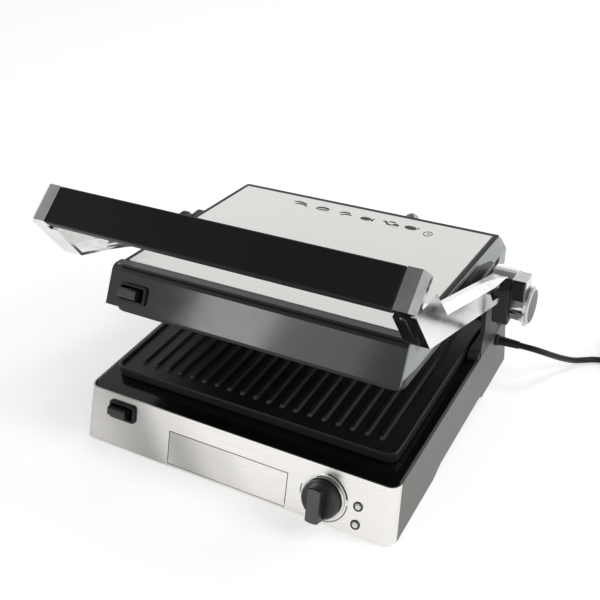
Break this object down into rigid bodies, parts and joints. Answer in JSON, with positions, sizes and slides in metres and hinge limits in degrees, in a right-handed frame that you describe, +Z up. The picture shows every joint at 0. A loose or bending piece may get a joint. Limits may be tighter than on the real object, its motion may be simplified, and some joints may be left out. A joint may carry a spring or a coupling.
{
  "type": "contact grill",
  "caption": "Countertop panini press: ribbed lift-off plates in a low base and a floating lid, raised by a bar handle on two side arms.",
  "frame": {"origin": "middle of the bottom of the object's box, on the surface the feet stand on, cord left out", "axes": "+Z up; the control panel faces -Y and +X is to the viewer's right, so the arms' hinge runs along X"},
  "size_m": [0.5805, 0.4375, 0.2636],
  "materials": {
    "front_panel": "brushed",
    "right_side_cover": "matte grey",
    "left_side_cover": "matte grey",
    "deck": "gloss black",
    "bottom_pan": "satin black",
    "rear_panel": "satin black",
    "foot_1": "matte black",
    "foot_2": "matte black",
    "foot_3": "matte black",
    "foot_4": "matte black",
    "lower_plate": "black non-stick coating",
    "lower_heat_shield": "plain",
    "lower_heater": "plain",
    "knob_bezel": "polished",
    "thermostat_body": "plain",
    "power_lamp_bezel": "satin black",
    "ready_lamp_bezel": "satin black",
    "power_lamp": "translucent lens",
    "ready_lamp": "translucent lens",
    "lower_button_frame": "gloss black",
    "right_hinge_tower": "satin black",
    "left_hinge_tower": "satin black",
    "right_hinge_knuckle": "satin black",
    "left_hinge_knuckle": "satin black",
    "right_hinge_pin": "plain",
    "left_hinge_pin": "plain",
    "left_hinge_cap": "polished",
    "cord_strain_relief": "matte black",
    "power_cord": "matte black",
    "power_cord_tail": "matte black",
    "power_cord_coil": "matte black",
    "plug": "matte black",
    "right_arm": "polished",
    "left_arm": "polished",
    "handle_bar": "satin black",
    "lid_fascia": "gloss black",
    "lid_frame": "gloss black",
    "lid_top_plate": "brushed",
    "right_lid_cover": "satin silver paint",
    "left_lid_cover": "satin silver paint",
    "lid_rear_cover": "gloss black",
    "lid_wire_guard": "satin silver paint",
    "right_lid_pivot": "plain",
    "left_lid_pivot": "plain",
    "upper_heat_shield": "plain",
    "upper_heater": "plain",
    "upper_button_frame": "gloss black",
    "upper_plate": "black non-stick coating",
    "upper_release_button": "satin black",
    "lower_release_button": "satin black",
    "thermostat_knob": "satin black",
    "thermostat_shaft": "plain",
    "drip_tray_front": "brushed",
    "drip_tray": "black enamel",
    "lock_lever": "polished",
    "lock_lever_cap": "satin black",
    "lock_lever_inset": "satin black"
  },
  "bodies": {
    "base": {"front_panel": "front_panel", "right_side_cover": "right_side_cover", "left_side_cover": "left_side_cover", "deck": "deck", "bottom_pan": "bottom_pan", "rear_panel": "rear_panel", "foot_1": "foot_1", "foot_2": "foot_2", "foot_3": "foot_3", "foot_4": "foot_4", "lower_heat_shield": "lower_heat_shield", "lower_heater": "lower_heater", "knob_bezel": "knob_bezel", "thermostat_body": "thermostat_body", "power_lamp_bezel": "power_lamp_bezel", "ready_lamp_bezel": "ready_lamp_bezel", "power_lamp": "power_lamp", "ready_lamp": "ready_lamp", "lower_button_frame": "lower_button_frame", "right_hinge_tower": "right_hinge_tower", "left_hinge_tower": "left_hinge_tower", "right_hinge_knuckle": "right_hinge_knuckle", "left_hinge_knuckle": "left_hinge_knuckle", "right_hinge_pin": "right_hinge_pin", "left_hinge_pin": "left_hinge_pin", "left_hinge_cap": "left_hinge_cap", "cord_strain_relief": "cord_strain_relief", "power_cord": "power_cord", "power_cord_tail": "power_cord_tail", "power_cord_coil": "power_cord_coil", "plug": "plug"},
    "arms": {"right_arm": "right_arm", "left_arm": "left_arm", "handle_bar": "handle_bar"},
    "lid": {"lid_fascia": "lid_fascia", "lid_frame": "lid_frame", "lid_top_plate": "lid_top_plate", "right_lid_cover": "right_lid_cover", "left_lid_cover": "left_lid_cover", "lid_rear_cover": "lid_rear_cover", "lid_wire_guard": "lid_wire_guard", "right_lid_pivot": "right_lid_pivot", "left_lid_pivot": "left_lid_pivot", "upper_heat_shield": "upper_heat_shield", "upper_heater": "upper_heater", "upper_button_frame": "upper_button_frame"},
    "upper_grill_plate": {"upper_plate": "upper_plate"},
    "upper_button": {"upper_release_button": "upper_release_button"},
    "lower_button": {"lower_release_button": "lower_release_button"},
    "lower_grill_plate": {"lower_plate": "lower_plate"},
    "thermostat": {"thermostat_knob": "thermostat_knob", "thermostat_shaft": "thermostat_shaft"},
    "tray": {"drip_tray": "drip_tray", "drip_tray_front": "drip_tray_front"},
    "lock": {"lock_lever": "lock_lever", "lock_lever_cap": "lock_lever_cap", "lock_lever_inset": "lock_lever_inset"}
  },
  "joints": [
    {"name": "arm_hinge", "type": "hinge", "parent": "base", "child": "arms", "pos_m": [0, 0.0948, 0.118], "axis": [-1, 0, 0], "range_deg": [-33.7, 60]},
    {"name": "lid_float", "type": "hinge", "parent": "arms", "child": "lid", "pos_m": [0, 0.0148, 0.15], "axis": [-1, 0, 0], "range_deg": [-52, 29]},
    {"name": "upper_plate_drop", "type": "slide", "parent": "lid", "child": "upper_grill_plate", "axis": [0, -0.0854, -0.9963], "range_m": [0, 0.02]},
    {"name": "upper_button_push", "type": "slide", "parent": "lid", "child": "upper_button", "axis": [0, 0.8633, -0.5047], "range_m": [0, 0.0035], "stiffness_N_per_m": 400, "springref_m": -0.001},
    {"name": "lower_button_push", "type": "slide", "parent": "base", "child": "lower_button", "axis": [0, 0.9498, -0.313], "range_m": [0, 0.0035], "stiffness_N_per_m": 400, "springref_m": -0.001},
    {"name": "lower_plate_lift", "type": "slide", "parent": "base", "child": "lower_grill_plate", "axis": [0, 0, 1], "range_m": [0, 0.02]},
    {"name": "knob_turn", "type": "hinge", "parent": "base", "child": "thermostat", "pos_m": [0.0988, -0.14187, 0.02526], "axis": [0, 0.9498, -0.313], "range_deg": [0, 270]},
    {"name": "tray_slide", "type": "slide", "parent": "base", "child": "tray", "axis": [0, -1, 0], "range_m": [0, 0.12]},
    {"name": "lock_turn", "type": "hinge", "parent": "base", "child": "lock", "pos_m": [0.196, 0.0948, 0.1125], "axis": [-1, 0, 0], "range_deg": [0, 45]}
  ],
  "couplings": [
    {"joint": "lid_float", "follows": "arm_hinge", "ratio": -0.8546}
  ]
}
